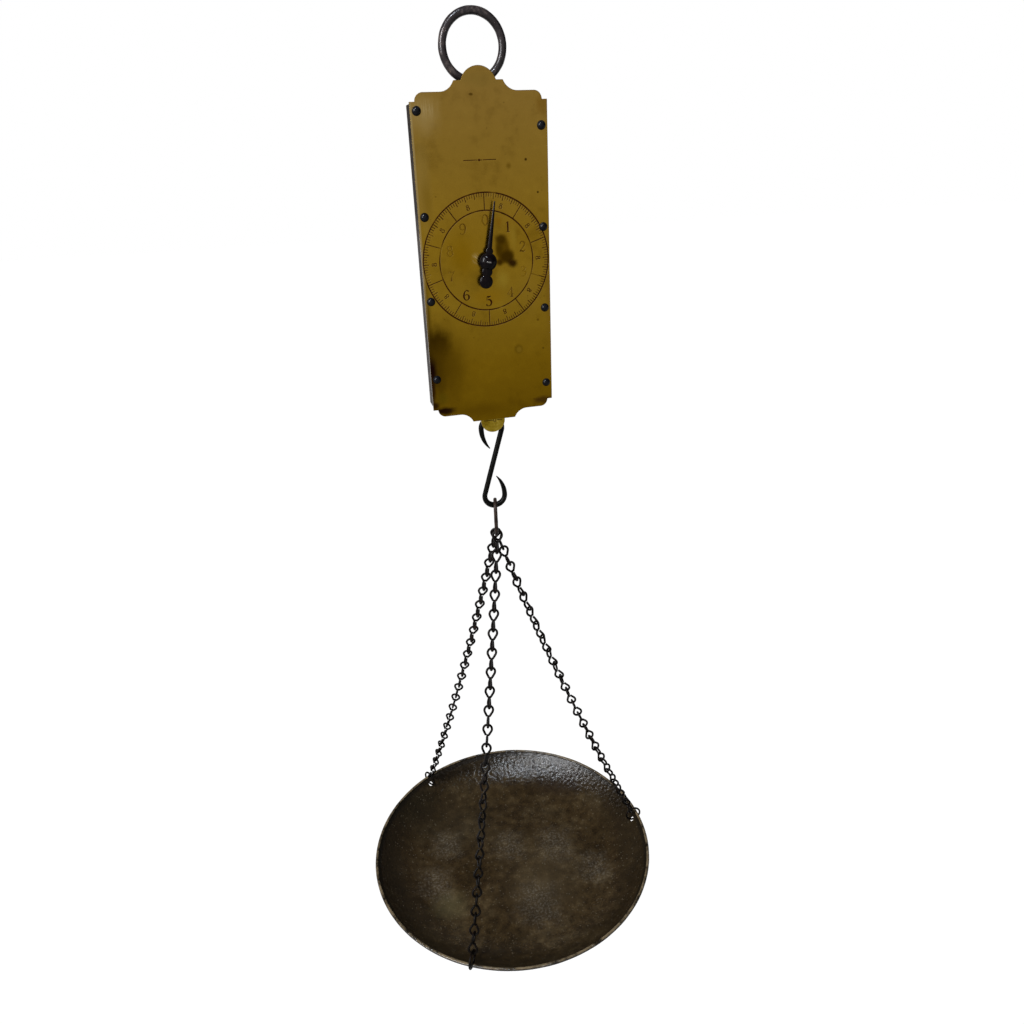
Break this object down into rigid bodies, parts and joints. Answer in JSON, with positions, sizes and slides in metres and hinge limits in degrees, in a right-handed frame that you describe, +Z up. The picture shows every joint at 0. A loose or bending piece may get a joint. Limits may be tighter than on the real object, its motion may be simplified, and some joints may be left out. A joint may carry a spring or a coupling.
{
  "type": "spring balance",
  "caption": "Hanging dial spring balance: brass plate on a sheet-iron case with a rack-driven pointer, an S hook and a round pan on jack chains.",
  "frame": {"origin": "centre of the hanging ring", "axes": "+Z up along the hanging line, the dial faces -Y, +X to the right as the dial is read"},
  "size_m": [0.2674, 0.265, 0.7253],
  "materials": {
    "ring_iron": "worn brown-grey iron",
    "forged_iron": "dark forged iron",
    "steel_fasteners": "dull steel",
    "case_iron": "worn dark brown lacquer on sheet iron",
    "plate_brass": "aged brass with brown patina",
    "screw_heads": "dark brown iron",
    "spring_steel": "oiled spring steel",
    "works_brass": "satin",
    "works_steel": "satin",
    "pointer_steel": "blued",
    "tab_brass": "worn brass",
    "hook_iron": "blackened iron wire",
    "hanger_iron": "brown-grey iron wire",
    "chain_iron": "blackened iron wire",
    "pan_iron": "mottled brown sheet iron"
  },
  "bodies": {
    "ring": {"hanging_ring": "ring_iron"},
    "case": {"suspension_eye": "forged_iron", "eye_nut": "steel_fasteners", "case_shell": "case_iron", "dial_plate": "plate_brass", "plate_screws": "screw_heads", "top_bar": "forged_iron", "top_bar_rivets": "steel_fasteners", "spring_left": "spring_steel", "spring_right": "spring_steel", "dial_bush": "works_brass", "bridge": "works_brass", "bridge_pillars": "works_brass", "bridge_screws": "steel_fasteners", "rack_guide": "works_brass"},
    "pointer": {"pinion_arbor": "works_steel", "pointer_collet": "pointer_steel", "pointer": "pointer_steel", "hub_nut": "pointer_steel"},
    "drawbar": {"crosshead": "forged_iron", "rack": "works_steel", "rack_screws": "steel_fasteners", "draw_bar": "forged_iron", "draw_bar_nut": "steel_fasteners", "draw_tab": "tab_brass", "tab_rivets": "tab_brass"},
    "hook": {"s_hook": "hook_iron"},
    "hanger": {"hanger_link": "hanger_iron"},
    "pan_suspension": {"chain_left": "chain_iron", "chain_right": "chain_iron", "chain_front": "chain_iron", "pan_rings": "chain_iron", "pan": "pan_iron"}
  },
  "joints": [
    {"name": "ring_swing", "type": "hinge", "parent": "ring", "child": "case", "pos_m": [0, 0, -0.01935], "axis": [1, 0, 0], "range_deg": [-60, 60]},
    {"name": "draw_slide", "type": "slide", "parent": "case", "child": "drawbar", "axis": [0, 0, -1], "range_m": [0, 0.0377], "stiffness_N_per_m": 3540, "springref_m": -0.0024, "deforming": ["spring_left", "spring_right"]},
    {"name": "pointer_turn", "type": "hinge", "parent": "case", "child": "pointer", "pos_m": [0, 0, -0.12795], "axis": [0, 1, 0], "range_deg": [-1, 1081]},
    {"name": "hook_swing", "type": "hinge", "parent": "drawbar", "child": "hook", "pos_m": [0, 0, -0.24221], "axis": [1, 0, 0], "range_deg": [-15, 60]},
    {"name": "hanger_swing", "type": "hinge", "parent": "hook", "child": "hanger", "pos_m": [0, 0, -0.31361], "axis": [1, 0, 0], "range_deg": [-50, 50]},
    {"name": "pan_swing", "type": "hinge", "parent": "hanger", "child": "pan_suspension", "pos_m": [0, 0, -0.33866], "axis": [0, 1, 0], "range_deg": [-30, 30]}
  ],
  "couplings": [
    {"joint": "pointer_turn", "follows": "draw_slide", "rad_per_m": 500}
  ]
}
